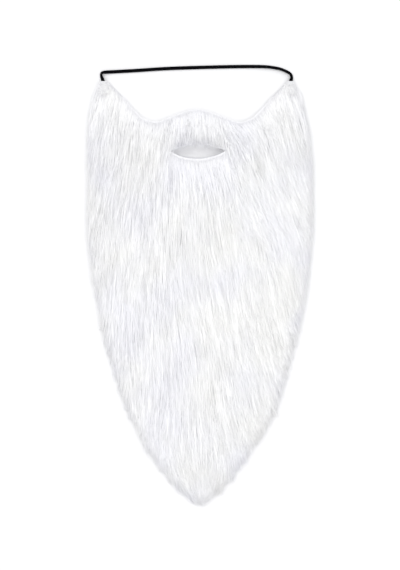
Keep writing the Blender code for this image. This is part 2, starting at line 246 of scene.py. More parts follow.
def makeElastic():
    sheet = elasticSheet
    route = np.array(sheet["route"])
    keys = np.column_stack([np.arange(len(route)), route])
    places = np.linspace(0, len(route) - 1, 1200)
    fine = np.column_stack([smoothRead(keys, column, places) for column in (1, 2, 3, 4)])
    along = np.concatenate([[0], np.cumsum(np.linalg.norm(np.diff(fine[:, :3], axis=0), axis=1))])
    count = int(along[-1] / sheet["ringStep"]) + 1
    steps = np.linspace(0, along[-1], count)
    rings = np.column_stack([np.interp(steps, along, fine[:, i]) for i in range(4)])
    centres, turn = rings[:, :3], np.radians(rings[:, 3])
    tangent = np.gradient(centres, axis=0)
    tangent /= np.linalg.norm(tangent, axis=1)[:, None]
    aside = np.cross(tangent, (0, 0, 1))
    aside /= np.linalg.norm(aside, axis=1)[:, None]
    upward = np.cross(aside, tangent)
    wide = aside * np.cos(turn)[:, None] + upward * np.sin(turn)[:, None]
    high = np.cross(wide, tangent)
    section = np.array(elasticSection())
    points = centres[:, None] + wide[:, None] * section[None, :, :1] + high[:, None] * section[None, :, 1:]
    size = len(section)
    faces = [
        (r * size + i, r * size + (i + 1) % size, (r + 1) * size + (i + 1) % size, (r + 1) * size + i)
        for r in range(count - 1)
        for i in range(size)
    ]
    faces += [tuple(reversed(range(size))), tuple((count - 1) * size + i for i in range(size))]
    mesh = bpy.data.meshes.new("elastic_band")
    mesh.from_pydata(points.reshape(-1, 3).tolist(), [], faces)
    mesh.update()
    shadeFaces(mesh, True)
    elastic = linked("elastic_band", mesh)
    tidyMesh(mesh)
    # along the band in metres and across it, for the knit
    layer = elastic.data.uv_layers.new(name="bandMap")
    where = np.empty(len(elastic.data.loops), int)
    elastic.data.loops.foreach_get("vertex_index", where)
    uv = np.column_stack([(where // size) * sheet["ringStep"], section[where % size, 0]])
    layer.data.foreach_set("uv", uv.ravel())
    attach(elastic, "root")
    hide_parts("elastic_strap")
    print("elastic:", count, "rings,", round(float(along[-1]), 4), "m")
    return elastic


elastic = makeElastic()


# The pile's upper side, read from the solid by rays from above.
reliefSheet = {
    "step": 0.002,
    "halfWidth": 0.132,
    "halfLength": 0.244,
    "blur": 0.0050,  # softens the solid's own tufts
    "ownShare": 0.20,  # how much of the unsoftened tufts is kept
    "outside": 0.0010,  # the height past the outline
    "fade": (0.26, 1.7),  # where the height starts to rise from that, and how fast
    "thinned": 0.72,  # how much of its height the hair loses at the lower outline
    "thinReach": 0.0060,
}


def copyOfNode(node, name):
    # a merged copy, because a CAD node's mesh is loose triangles
    body = bmesh.new()
    body.from_mesh(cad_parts[node].data)
    bmesh.ops.remove_doubles(body, verts=body.verts, dist=1e-6)
    mesh = bpy.data.meshes.new(name)
    body.to_mesh(mesh)
    body.free()
    return linked(name, mesh)


def blurred(grid, cells):
    reach = int(3 * cells) + 1
    kernel = np.exp(-0.5 * (np.arange(-reach, reach + 1) / cells) ** 2)
    kernel /= kernel.sum()
    for axis in (0, 1):
        grid = np.apply_along_axis(lambda line: np.convolve(line, kernel, mode="same"), axis, grid)
    return grid


def readRelief():
    sheet = reliefSheet
    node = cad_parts["fur_pile"].data
    corners = [v.co for v in node.vertices]
    tree = BVHTree.FromPolygons(corners, [tuple(p.vertices) for p in node.polygons])
    xs = np.arange(-sheet["halfWidth"], sheet["halfWidth"] + 1e-9, sheet["step"])
    ys = np.arange(-sheet["halfLength"], sheet["halfLength"] + 1e-9, sheet["step"])
    hit = np.zeros((len(xs), len(ys)))
    height = np.zeros((len(xs), len(ys)))
    for i, x in enumerate(xs):
        for j, y in enumerate(ys):
            place = tree.ray_cast((x, y, 0.05), (0, 0, -1))[0]
            if place is not None:
                hit[i, j], height[i, j] = 1, place.z
    cells = sheet["blur"] / sheet["step"]
    share = blurred(hit, cells)
    soft = blurred(height, cells) / np.maximum(share, 1e-6)
    gridX, gridDown = np.meshgrid(xs, np.maximum(beardPlan["top"] - ys, 0), indexing="ij")
    filled = (beyond(gridX, gridDown) < 0).astype(float)
    fadeFrom, fadeRate = sheet["fade"]
    fade = np.clip((blurred(filled, cells) - fadeFrom) * fadeRate, 0, 1)  # thin at the sides and the tip
    inside = np.clip(-beyond(gridX, gridDown), 0, None)
    thin = 1 - sheet["thinned"] * lowerShare(gridDown) * np.exp(-inside / sheet["thinReach"])
    soft = sheet["outside"] + (soft - sheet["outside"]) * fade * thin
    height = sheet["outside"] + (height - sheet["outside"]) * thin
    own = blurred(np.where(hit > 0, height, soft), 0.8)
    return xs, ys, soft * (1 - sheet["ownShare"]) + own * sheet["ownShare"]


reliefX, reliefY, relief = readRelief()


def pileHeight(x, y):
    step = reliefSheet["step"]
    gx = np.clip((x - reliefX[0]) / step, 0, len(reliefX) - 1.001)
    gy = np.clip((y - reliefY[0]) / step, 0, len(reliefY) - 1.001)
    i, j = gx.astype(int), gy.astype(int)
    fx, fy = gx - i, gy - j
    low = relief[i, j] * (1 - fx) + relief[i + 1, j] * fx
    high = relief[i, j + 1] * (1 - fx) + relief[i + 1, j + 1] * fx
    return low * (1 - fy) + high * fy


print("relief: highest", round(float(relief.max()), 4))


# The corner tabs: cloth turned over the elastic's ends and sewn down.
# Each has its corners' x at its upper and its lower edge.
tabSheet = {
    "corner_tab_left": {"upper": (-0.1107, -0.1010), "lower": (-0.1112, -0.0985)},
    "corner_tab_right": {"upper": (0.0950, 0.1038), "lower": (0.0918, 0.1034)},
}
tabDepth = 0.0130
tabTop = 0.0043


def tabSides(place, share):
    # the tab's left and right side, this share of the way down it
    upper, lower = place["upper"], place["lower"]
    return upper[0] + share * (lower[0] - upper[0]), upper[1] + share * (lower[1] - upper[1])


def inTabs(x, down, margin=0.0):
    inside = np.zeros(np.shape(x), bool)
    for place in tabSheet.values():
        left, right = tabSides(place, np.clip(down / tabDepth, 0, 1))
        inside |= (x > left - margin) & (x < right + margin) & (down < tabDepth + margin)
    return inside


# The hair: fine closed strands, a few to a wisp and the wisps in clumps, rooted in the cloth,
# combed down and layered like a thatch.
hairSheet = {
    "seed": 23,
    "halfWidth": 0.126,  # of the field that roots are looked for in
    "fieldLength": 0.456,
    "rootDown": (0.002, 0.452),  # the first and the last roots
    "lipRoom": (0.0010, 0.0006, 0.0005),  # how far roots stay from the slit's ends, upper and lower lip
    "tabRoom": 0.0002,
    "clumpSpacing": 0.0064,
    "rowStep": 0.866,  # between two rows of clumps, as a share of the spacing
    "clumpStray": 0.24,
    "clumpInset": 0.0006,
    "clumpRadius": 0.0058,
    "clumpLength": (0.050, 0.088),
    "clumpTurn": 3.6,  # degrees either way
    "clumpLift": (0.0001, 0.0006),
    "clumpGather": 0.30,  # how far a clump's wisps close up towards its tip
    "tuftGather": 0.80,  # the same where the clump ends at the outline
    "wisps": 6.1,  # in a clump
    "strands": 3,  # in a wisp
    "wispRadius": 0.00032,
    "wispGather": 0.60,
    "wispTurn": 2.2,
    "wispLift": 0.0006,
    "wave": 0.0007,
    "waveSpeed": (2.0, 6.0),
    "strandWave": 0.00018,
    "radius": (0.00014, 0.00021),
    "shortest": 0.0045,
    "rootDepth": 0.0030,
    "riseLength": 0.055,  # after this much a strand has come up to the surface
    "clothTop": 0.0023,
    "lowest": 0.0005,
    "tuftsEnd": 0.475,
    "tuftRun": (0.0045, 0.0150),  # along the outline
    "tuftTip": (0.0030, 0.0100),  # how far a tuft's tip stands out of the outline
    "tuftNotch": (-0.0010, 0.0014),  # and the hair between two tufts
    "tuftPeak": 0.82,  # where the tip is on the tuft's run
    "tuftUpper": 0.34,  # the share of all that along the upper sides
    "rag": 0.0036,  # how much single strands fall short of it
    "splay": (3.0, 17.0),  # degrees that the hair turns outwards at the upper and the lower outline
    "splayReach": 0.0075,
    "hang": (-0.0003, 0.0048),  # how far the wisps hang into the mouth
    "hangRare": 1.5,  # above 1 fewer of them hang far
}
edgingSheet = {
    "perSquareMetre": 4.4e6, "band": 0.0015, "turn": 5.0, "length": (0.020, 0.056),
    "lift": (0.0001, 0.0009), "tone": (0, 1), "radius": (0.00014, 0.00021), "strands": 2,
}
# The guard hairs' tones differ at random but stay high, as painted light on hairs that lie on top of the
# rest.
guardSheet = {
    "count": 4300, "halfWidth": 0.122, "rootDown": (0.01, 0.44), "inset": 0.002, "turn": 4.0,
    "length": (0.055, 0.100), "lift": (0.0004, 0.0012), "tone": (0.6, 1), "radius": (0.00019, 0.00028),
}
fuzzSheet = {
    "count": 330, "turn": 38.0, "length": (0.0025, 0.0075), "lift": (0.0002, 0.0009),
    "radius": (0.00012, 0.00018),
}
# down, then the slant in degrees at each share of the width. Above 0 goes to the right on the way down.
combTable = [
    (0.010, -14, -10, 0, 12, 14), (0.060, -10, -7, 1, 15, 14), (0.110, -10, -9, 5, 18, 20),
    (0.160, -5, -7, 6, 20, 22), (0.210, -8, -5, 8, 10, 14), (0.260, -1, 0, 8, 14, 18),
    (0.310, 5, 1, 3, 17, 16), (0.360, 7, -4, 3, 16, 13), (0.395, 9, -1, 6, 17, 6),
    (0.420, 16, 14, 6, 8, -2), (0.445, 32, 32, 6, -22, -30),
]
combShares = (0.0, 0.2, 0.5, 0.8, 1.0)
combSpots = [  # x, down, spread across, spread down, degrees added
    (0.040, 0.050, 0.015, 0.022, 20.0), (0.030, 0.092, 0.022, 0.016, 10.0),
    (-0.042, 0.058, 0.014, 0.024, -6.0), (0.004, 0.104, 0.024, 0.014, 8.0),
    (0.060, 0.135, 0.030, 0.030, 6.0), (-0.010, 0.262, 0.030, 0.026, 8.0),
    (0.064, 0.040, 0.016, 0.014, 24.0), (0.044, 0.058, 0.014, 0.010, 12.0),
]
strandStations = (0.0, 0.16, 0.42, 0.72, 1.0)  # along a strand, as shares of its length
strandSwell = (0.9, 1.0, 0.72)  # its thickness at the stations between its two ends
routeSteps = 24
hairZones = [  # each piece of hair ends this far down
    ("hair_cheeks", 0.070), ("hair_lip", 0.112), ("hair_chin", 0.160), ("hair_middle", 0.215),
    ("hair_lower", 0.280), ("hair_end", 0.348), ("hair_tip", 1.0),
]
shadeSheet = {
    "rim": 0.15,  # painted shade along the outline
    "rimReach": 0.0065,
    "lip": 0.50,  # painted shadow on the tips over the upper lip
    "lipReach": 0.0008,
    "lipMiddle": 0.0776,
    "spots": [  # x, down, spread across, spread down and amount of the places with painted shade
        (-0.085, 0.085, 0.036, 0.055, 0.20), (0.085, 0.060, 0.034, 0.050, 0.17),
        (0.000, 0.055, 0.055, 0.020, 0.22), (0.068, 0.070, 0.026, 0.026, 0.08),
        (-0.104, 0.160, 0.014, 0.060, 0.14), (0.000, 0.448, 0.030, 0.024, 0.16),
        (0.000, 0.096, 0.042, 0.018, 0.16),
    ],
}


def withSpots(total, spots, x, down):
    # round soft spots added on
    for spotX, spotDown, wide, deep, amount in spots:
        total = total + amount * np.exp(-(((x - spotX) / wide) ** 2) - ((down - spotDown) / deep) ** 2)
    return total


def combed(x, down):
    left, right = hairSides(down)
    share = np.clip((x - left) / np.maximum(right - left, 1e-4), 0, 1)
    slants = np.stack([smoothRead(combTable, column, down) for column in range(1, 6)])
    i = np.clip(np.searchsorted(combShares, share, side="right") - 1, 0, 3)
    low, high = np.take(combShares, i), np.take(combShares, i + 1)
    t = (share - low) / (high - low)
    before, after = (np.take_along_axis(slants, i[None] + step, 0)[0] for step in (0, 1))
    slant = withSpots(before * (1 - t) + after * t, combSpots, x, down)
    # at the outline the hair turns outwards
    low, high = hairSheet["splay"]
    splay = low + (high - low) * lowerShare(down)
    reach = hairSheet["splayReach"]
    nearRight, nearLeft = (np.exp(-np.clip(gap, 0, None) / reach) for gap in (right - x, x - left))
    return np.radians(slant + splay * (nearRight - nearLeft))


def canRoot(x, down, inset):
    left, right = hairSides(down)
    first, last = hairSheet["rootDown"]
    inside = (x > left + inset) & (x < right - inset) & (down > topEdge(x) + inset)
    inside = inside & (down > first) & (down < last) & (inMouth(x, down, *hairSheet["lipRoom"]) < 0)
    return inside & ~inTabs(x, down, hairSheet["tabRoom"])


def shadeAt(x, down):
    # how much painted shade the hair gets: along the outline, as a painted shadow over the upper lip and at
    # the spots
    sheet = shadeSheet
    left, right = hairSides(down)
    inside = np.minimum(np.minimum(x - left, right - x), tipDown - down)
    shade = sheet["rim"] * np.exp(-np.clip(inside, 0, None) / sheet["rimReach"])
    lip = np.clip(-inMouth(x, down), 0, None)
    shade = shade + sheet["lip"] * np.exp(-lip / sheet["lipReach"]) * (down < sheet["lipMiddle"])
    return np.clip(withSpots(shade, sheet["spots"], x, down), 0, 1)


def upstream(x, down, steps=10, stride=0.0022):
    # how far back against the combing the rooted cloth begins, up to 22 mm
    x, down = np.array(x), np.array(down)
    found = np.full(x.shape, steps * stride)
    climbing = np.ones(x.shape, bool)
    for i in range(steps):
        slant = combed(x, down)
        x, down = x - stride * np.sin(slant), down - stride * np.cos(slant)
        ended = climbing & ~canRoot(x, down, 0.0)
        found[ended] = i * stride
        climbing &= ~ended
    return found


def clumpPlaces(random):
    sheet = hairSheet
    step = sheet["clumpSpacing"]
    places = []
    for row in range(int(sheet["fieldLength"] / (step * sheet["rowStep"])) + 1):
        xs = np.arange(-sheet["halfWidth"], sheet["halfWidth"], step) + (row % 2) * step / 2
        places.append(np.column_stack([xs, np.full(len(xs), row * step * sheet["rowStep"])]))
    places = np.concatenate(places)
    places += random.normal(0, step * sheet["clumpStray"], places.shape)
    return places[canRoot(places[:, 0], places[:, 1], sheet["clumpInset"])]


def clumpLines(places, turn, steps=26, stride=0.004):
    # each clump's middle line in plan, followed through the combing
    lines = np.empty((steps, *places.shape))
    lines[0] = places
    for i in range(1, steps):
        x, down = lines[i - 1].T
        slant = combed(x, down) + turn
        lines[i] = lines[i - 1] + stride * np.column_stack([np.sin(slant), np.cos(slant)])
    return lines, stride


def outlineTufts(random):
    # down each side the hair swells out slowly to a tuft's tip and then steps back in
    sheet = hairSheet
    sides = []
    for _ in range(2):
        at, places, swell = 0.0, [], []
        while at < sheet["tuftsEnd"]:
            run = random.uniform(*sheet["tuftRun"])
            scale = sheet["tuftUpper"] + (1 - sheet["tuftUpper"]) * float(lowerShare(at))
            places += [at, at + sheet["tuftPeak"] * run]
            swell += [scale * random.uniform(*sheet["tuftNotch"]), scale * random.uniform(*sheet["tuftTip"])]
            at += run
        sides.append((places, swell))
    return sides


def tuftSwell(tufts, x, down):
    left, right = (np.interp(down, *side) for side in tufts)
    return np.where(x < 0, left, right)


def lineEnds(lines, stride, tufts):
    # how far each line runs until it ends past the outline
    over = beyond(lines[..., 0], lines[..., 1]) - tuftSwell(tufts, lines[..., 0], lines[..., 1])
    past = over > 0
    last = np.maximum(np.where(past.any(0), past.argmax(0), len(lines) - 1), 1)
    every = np.arange(lines.shape[1])
    before, after = over[last - 1, every], over[last, every]
    part = np.clip(-before / np.maximum(after - before, 1e-6), 0, 1)
    return np.where(past.any(0), (last - 1 + part) * stride, 1.0)


def thatch(random):
    # the body of the hair: clumps on a staggered grid, each split in wisps
    sheet = hairSheet
    roots = clumpPlaces(random)
    count = len(roots)
    turn = np.radians(random.normal(0, sheet["clumpTurn"], count))
    near = np.exp(-upstream(roots[:, 0], roots[:, 1]) / 0.007)
    wisps = sheet["wisps"] * (0.92 + 0.5 * near) + random.uniform(-0.5, 0.5, count)  # more near an edge
    own = np.repeat(np.arange(count), np.round(wisps).astype(int))
    total = len(own)
    reach = sheet["clumpRadius"] * np.sqrt(random.uniform(0, 1, total))
    way = random.uniform(0, 2 * math.pi, total)
    bulge = 0.0005 * (1 - (reach / sheet["clumpRadius"]) ** 2)
    return {
        "roots": roots, "turn": turn, "own": own,
        "offset": np.column_stack([reach * np.cos(way), 1.25 * reach * np.sin(way)]),
        "gather": np.clip(sheet["clumpGather"] + random.normal(0, 0.2, total), 0, 0.95),
        "length": random.uniform(*sheet["clumpLength"], count)[own] * random.uniform(0.82, 1.1, total),
        "lift": random.uniform(*sheet["clumpLift"], count)[own] + bulge
        + random.uniform(0, sheet["wispLift"], total),
        "tone": 0.35 * random.uniform(0, 1, count)[own] + 0.65 * random.uniform(0, 1, total),
        "strands": np.full(total, sheet["strands"]),
        "radius": random.uniform(*sheet["radius"], total),
    }


def singleWisps(random, sheet, roots, strandsFor):
    # wisps that belong to no clump
    total = len(roots)
    return {
        "roots": roots, "turn": np.radians(random.normal(0, sheet["turn"], total)),
        "own": np.arange(total), "offset": np.zeros((total, 2)), "gather": np.zeros(total),
        "length": random.uniform(*sheet["length"], total), "lift": random.uniform(*sheet["lift"], total),
        "tone": random.uniform(*sheet["tone"], total), "strands": strandsFor(total),
        "radius": random.uniform(*sheet["radius"], total),
    }


def edging(random):
    # short wisps packed along every edge that the hair starts from
    sheet = edgingSheet
    halfWidth, length = hairSheet["halfWidth"], hairSheet["fieldLength"]
    count = int(sheet["perSquareMetre"] * 2 * halfWidth * length)
    x, down = random.uniform(-halfWidth, halfWidth, count), random.uniform(0.0, length, count)
    slant = combed(x, down)
    back = ~canRoot(x - sheet["band"] * np.sin(slant), down - sheet["band"] * np.cos(slant), 0.0)
    keep = canRoot(x, down, 0.0) & back
    roots = np.column_stack([x[keep], down[keep]])
    return singleWisps(random, sheet, roots, lambda total: np.full(total, sheet["strands"]))


def guardHairs(random):
    # single longer and stouter hairs that lie over the rest
    sheet = guardSheet
    halfWidth, tries = sheet["halfWidth"], sheet["count"] * 2
    x, down = random.uniform(-halfWidth, halfWidth, tries), random.uniform(*sheet["rootDown"], tries)
    keep = canRoot(x, down, sheet["inset"])
    roots = np.column_stack([x[keep], down[keep]])[: sheet["count"]]
    return singleWisps(random, sheet, roots, lambda total: random.integers(1, 3, total))


def readAlong(routes, at, which):
    # the places at these steps along the routes
    at = np.clip(at, 0, len(routes) - 1.001)
    i = at.astype(int)
    f = (at - i)[..., None]
    return routes[i, which] * (1 - f) + routes[i + 1, which] * f


def strandPaths(random):
    # plan and height of every strand at its stations, with its radius and tone
    sheet = hairSheet
    kinds = [thatch(random), edging(random), guardHairs(random)]
    starts = np.cumsum([0] + [len(kind["roots"]) for kind in kinds[:-1]])
    line = np.concatenate([kind["own"] + start for kind, start in zip(kinds, starts)])
    both = {name: np.concatenate([kind[name] for kind in kinds]) for name in kinds[0] if name != "own"}
    lines, stride = clumpLines(both["roots"], both["turn"])
    tufts = outlineTufts(random)
    ends = lineEnds(lines, stride, tufts)
    wisps = len(line)
    bend = random.normal(0, 1, wisps) * sheet["wave"]
    phase, speed = random.uniform(0, 2 * math.pi, wisps), random.uniform(*sheet["waveSpeed"], wisps)
    swing = np.radians(random.normal(0, sheet["wispTurn"], wisps))
    least, most = sheet["hang"]
    hang = least + (most - least) * random.uniform(0, 1, wisps) ** sheet["hangRare"]
    gather = np.where(ends[line] < both["length"], sheet["tuftGather"], both["gather"])

    own = np.repeat(np.arange(wisps), both["strands"])
    total = len(own)
    aside = random.normal(0, sheet["wispRadius"], (total, 2)) * (both["strands"][own] > 1)[:, None]
    length = both["length"][own] * random.uniform(0.86, 1.05, total)
    reach = np.minimum(length, np.maximum(ends[line[own]], 1e-4) * random.uniform(0.97, 1.10, total))
    t = np.linspace(0, 1, routeSteps + 1)[:, None]
    closing = np.clip(t * length / reach, 0, 1) ** 1.1
    path = readAlong(lines, t * length / stride, line[own])
    path += both["offset"][own] * (1 - gather[own] * closing)[..., None]
    path += aside * (1 - sheet["wispGather"] * closing)[..., None]
    bow = np.sin(phase[own] + t * speed[own]) - np.sin(phase[own])
    wave = (bend[own] + random.normal(0, sheet["strandWave"], total)) * bow
    path[..., 0] += wave * (0.3 + 0.7 * t) + swing[own] * t * length

    # each ends with its tuft, at the upper lip or at its own length, whichever comes first
    x, down = path[..., 0], path[..., 1]
    rag = sheet["rag"] * random.uniform(-0.3, 1, total) ** 3
    past = beyond(x, down) > tuftSwell(tufts, x, down) - rag
    past |= inMouth(x, down) > (hang[own] + random.uniform(-0.0003, 0.0003, total)) * mouthBow(x)
    first = np.where(past.any(0), past.argmax(0), routeSteps)
    cut = np.clip(np.minimum(first / routeSteps, reach / length), 0.02, 1.0)
    keep = canRoot(x[0], down[0], 0.0) & (cut * length > sheet["shortest"])
    path, cut, length, own = path[:, keep], cut[keep], length[keep], own[keep]
    total = len(own)

    stations = np.array(strandStations)[:, None]
    plan = readAlong(path, stations * cut * routeSteps, np.arange(total))
    # a cut strand has risen less at its end
    grown = stations * np.maximum(cut * length, 0.02) / sheet["riseLength"]
    rise = 1 - np.clip(1 - grown, 0, 1) ** 2.2
    lift = both["lift"][own] + random.uniform(0, 0.0003, total)
    # the first rows start at the surface
    buried = np.clip(upstream(plan[0, :, 0], plan[0, :, 1]) / 0.018, 0, 1)
    depth = sheet["rootDepth"] * random.uniform(0.6, 1.0, total) * (0.06 + 0.94 * buried)
    y = beardPlan["top"] - plan[..., 1]
    height = pileHeight(plan[..., 0], y) - depth + (depth + lift) * rise
    inner = canRoot(plan[..., 0], plan[..., 1], 0.0)
    height = np.maximum(height, np.where(inner, sheet["clothTop"], sheet["lowest"]))
    points = np.stack([plan[..., 0], y, height], -1)
    radius = both["radius"][own] * random.uniform(0.88, 1.12, total)
    tone = np.clip(both["tone"][own] + random.uniform(-0.12, 0.12, total), 0, 1)
    return points, radius, tone


def tabFuzz(random):
    # short loose fibres over the two tabs, which leave their stitching in sight
    sheet = fuzzSheet
    count = sheet["count"]
    stations = np.array(strandStations)[:, None]
    points, radius = [], []
    for place in tabSheet.values():
        across, share = random.uniform(-0.06, 1.06, count), random.uniform(0.02, 0.96, count) ** 0.8
        left, right = tabSides(place, share)
        turn = np.radians(random.normal(0, sheet["turn"], count))
        run = stations * random.uniform(*sheet["length"], count)
        x = left + across * (right - left) + run * np.sin(turn)
        down = share * tabDepth + run * np.cos(turn)
        arch = random.uniform(*sheet["lift"], count) * np.sin(math.pi * np.clip(stations * 1.15, 0, 1))
        points.append(np.stack([x, beardPlan["top"] - down, tabTop + arch], -1))
        radius.append(random.uniform(*sheet["radius"], count))
    return np.concatenate(points, 1), np.concatenate(radius), random.uniform(0.2, 1, 2 * count)


def strandMesh(name, points, radius, tone, shade=None):
    # closed three-sided strands: a point, three rings and a point, with flat arrays for speed
    stations, total = points.shape[:2]
    rings = stations - 2
    tangent = np.gradient(points, axis=0)
    tangent /= np.maximum(np.linalg.norm(tangent, axis=2, keepdims=True), 1e-9)
    aside = np.cross(tangent, (0.0, 0.0, 1.0))
    aside /= np.maximum(np.linalg.norm(aside, axis=2, keepdims=True), 1e-9)
    upward = np.cross(tangent, aside)
    swell = np.array(strandSwell)[:, None]
    start = np.arange(total) * 2.4
    vertices = np.empty((total, 2 + 3 * rings, 3))
    vertices[:, 0], vertices[:, -1] = points[0], points[-1]
    for corner in range(3):
        angle = start + corner * 2 * math.pi / 3
        way = aside[1:-1] * np.cos(angle)[None, :, None] + upward[1:-1] * np.sin(angle)[None, :, None]
        ring = points[1:-1] + way * (radius * swell)[..., None]
        vertices[:, 1 + corner : 1 + 3 * rings : 3] = ring.transpose(1, 0, 2)
    last = 1 + 3 * rings
    triangles = [(0, 1 + (c + 1) % 3, 1 + c) for c in range(3)]
    quads = [
        (1 + 3 * r + c, 1 + 3 * r + (c + 1) % 3, 4 + 3 * r + (c + 1) % 3, 4 + 3 * r + c)
        for r in range(rings - 1)
        for c in range(3)
    ]
    ends = [(last - 3 + c, last - 3 + (c + 1) % 3, last) for c in range(3)]
    pattern = [*triangles, *quads, *ends]
    sizes = np.array([len(face) for face in pattern])
    flat = np.concatenate([np.array(face) for face in pattern])
    per = 2 + 3 * rings
    loops = (np.arange(total)[:, None] * per + flat[None]).ravel()
    sizes = np.tile(sizes, total)
    mesh = bpy.data.meshes.new(name)
    mesh.vertices.add(total * per)
    mesh.vertices.foreach_set("co", vertices.ravel())
    mesh.loops.add(len(loops))
    mesh.loops.foreach_set("vertex_index", loops)
    mesh.polygons.add(len(sizes))
    mesh.polygons.foreach_set("loop_start", np.concatenate([[0], np.cumsum(sizes)[:-1]]))
    shadeFaces(mesh, False)  # plain faces lose no light between strands
    mesh.update(calc_edges=True)

    along = np.concatenate([[0.0], np.repeat(strandStations[1:-1], 3), [1.0]])
    marks = {"along": np.tile(along, total), "tone": np.repeat(tone, per)}
    # the painted shade, for every vertex of a strand
    if shade is not None:
        spread = np.concatenate([shade[:1], np.repeat(shade[1:-1], 3, axis=0), shade[-1:]])
        marks["shade"] = spread.T.ravel()
    for mark, values in marks.items():
        mesh.attributes.new(mark, "FLOAT", "POINT").data.foreach_set("value", values.astype(np.float32))
    # a small cell of its own for each strand, so that a bake can hold its tone
    across = int(math.ceil(math.sqrt(total)))
    cellX, cellY = np.arange(total) % across, np.arange(total) // across
    sides, heights = [], []
    for face in pattern:
        inFace = [(v - 1) % 3 for v in face if 0 < v < last]
        c = 2 if 0 in inFace and 2 in inFace else min(inFace)
        for v in face:
            if v in (0, last):
                sides.append((c + 0.5) / 3)
            else:
                sides.append((c + (0 if (v - 1) % 3 == c else 1)) / 3)
            heights.append(along[v])
    u = (cellX[:, None] + 0.12 + 0.76 * np.array(sides)[None]) / across
    v = (cellY[:, None] + 0.08 + 0.84 * np.array(heights)[None]) / across
    layer = mesh.uv_layers.new(name="OFBake")
    layer.data.foreach_set("uv", np.stack([u, v], -1).ravel().astype(np.float32))
    return linked(name, mesh)


def makeHair():
    random = np.random.default_rng(hairSheet["seed"])
    both = zip(strandPaths(random), tabFuzz(random))
    points, radius, tone = (np.concatenate(pair, axis) for pair, axis in zip(both, (1, 0, 0)))
    down = beardPlan["top"] - points[..., 1]
    # painted shade for every station of every strand
    shade = shadeAt(points[..., 0], down)
    made = []
    begin = -1.0
    for name, end in hairZones:
        mask = (down[0] >= begin) & (down[0] < end)
        begin = end
        piece = strandMesh(name, points[:, mask], radius[mask], tone[mask], shade[:, mask])
        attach(piece, "root")
        made.append(piece)
        print(name, int(mask.sum()), "strands")
    print("hair:", len(tone), "strands, highest", round(float(points[..., 2].max()), 4))
    return made


hair = makeHair()


# The dense pile under the strands, from the solid, set a little lower.
underSheet = {
    "narrower": 0.955,
    "shorter": 0.985,
    "below": (0.0010, 0.0006),  # under the hair's height
    "lowest": 0.0021,
}


def makeUnderPile():
    sheet = underSheet
    under = copyOfNode("fur_pile", "under_pile")
    body = bmesh.new()
    body.from_mesh(under.data)
    body.normal_update()
    for v in body.verts:
        # the top edge stays
        pull = min(max((beardPlan["top"] - 0.06 - v.co.y) / 0.06, 0.0), 1.0)
        low = min(max((-0.05 - v.co.y) / 0.18, 0.0), 1.0)
        v.co.x *= 1 - (1 - sheet["narrower"]) * pull
        v.co.y = v.co.y + (1 - sheet["shorter"]) * tipDown * low
    cover = pileHeight(np.array([v.co.x for v in body.verts]), np.array([v.co.y for v in body.verts]))
    for v, height in zip(body.verts, cover):
        if v.normal.z > -0.2 and v.co.z > 0.0026:
            least, most = (float(height) - gap for gap in sheet["below"])
            v.co.z = max(min(max(v.co.z, least), most), sheet["lowest"])
    bmesh.ops.recalc_face_normals(body, faces=body.faces)
    body.to_mesh(under.data)
    body.free()
    shadeFaces(under.data, False)
    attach(under, "root")
    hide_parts("fur_pile")
    return under


underPile = makeUnderPile()
print("under pile:", len(underPile.data.polygons), "faces")


# The knitted ground cloth that the hair is rooted in.
clothSheet = {
    "thickness": 0.0016,
    "corner": 0.0004,
    "lipBand": 0.0026,  # what shows of it at the lower lip
    "lipHidden": 0.0015,
    "flat": (0.2366, 0.421),
    "area": 0.078,
}


def clothOutline():
    plan = beardPlan
    points = [(plan["sides"][0][1], plan["top"])]
    for x in np.linspace(plan["topEdge"][0][0], plan["topEdge"][-1][0], 72):
        points.append((x, plan["top"] - float(smoothRead(plan["topEdge"], 1, x))))
    points.append((plan["sides"][0][2], plan["top"]))
    downs = np.linspace(0, plan["clothEnd"], 61)[1:]
    inset = smoothRead(plan["clothInset"], 1, downs)
    left, right = hairSides(downs)
    points += [(float(x), plan["top"] - down) for x, down in zip(right - inset, downs)]
    points += [(float(x), plan["top"] - down) for x, down in zip((left + inset)[::-1], downs[::-1])]
    return points


def clothMouth(steps=24):
    plan, left, right = beardPlan, beardPlan["mouthLeft"], beardPlan["mouthRight"]
    shares = np.linspace(0, 1, steps + 1)
    lips = [(share, plan["mouthDrop"] - clothSheet["lipBand"]) for share in shares]
    lips += [(share, -plan["mouthRise"] - clothSheet["lipHidden"]) for share in shares[-2:0:-1]]
    points = []
    for share, bulge in lips:
        y = plan["top"] - left[1] - share * (right[1] - left[1]) - bulge * (1 - (2 * share - 1) ** 2)
        points.append((left[0] + share * (right[0] - left[0]), y))
    return points


def makeCloth():
    sheet = clothSheet
    curve = bpy.data.curves.new("ground_cloth", "CURVE")
    curve.dimensions = "2D"
    curve.fill_mode = "BOTH"
    curve.extrude = sheet["thickness"] / 2 - sheet["corner"]
    curve.bevel_depth = sheet["corner"]
    curve.bevel_resolution = 1
    curve.offset = -sheet["corner"]
    for outline in (clothOutline(), clothMouth()):
        spline = curve.splines.new("POLY")
        spline.points.add(len(outline) - 1)
        for point, (x, y) in zip(spline.points, outline):
            point.co = (x, y, 0, 1)
        spline.use_cyclic_u = True
    cloth = linked("ground_cloth", curve)
    cloth.location.z = sheet["thickness"] / 2
    bpy.ops.object.select_all(action="DESELECT")
    cloth.select_set(True)
    bpy.context.view_layer.objects.active = cloth
    bpy.ops.object.convert(target="MESH")
    bpy.ops.object.transform_apply(location=True, rotation=True, scale=True)
    tidyMesh(cloth.data, 1e-6)
    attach(cloth, "root")
    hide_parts("backing_cloth")
    return cloth


cloth = makeCloth()


# Corner tabs with their stitching.
tabShape = {
    "base": 0.0019,
    "thickness": 0.0024,
    "bevel": 0.00035,
    "inset": 0.0012,  # of the sewn square
    "pressWidth": 0.0006,  # of the groove that the thread presses in
    "thread": 0.00016,
    "stitchStep": 0.0021,
    "stitchShares": (0.16, 0.84),  # where a stitch starts and ends in its step
}


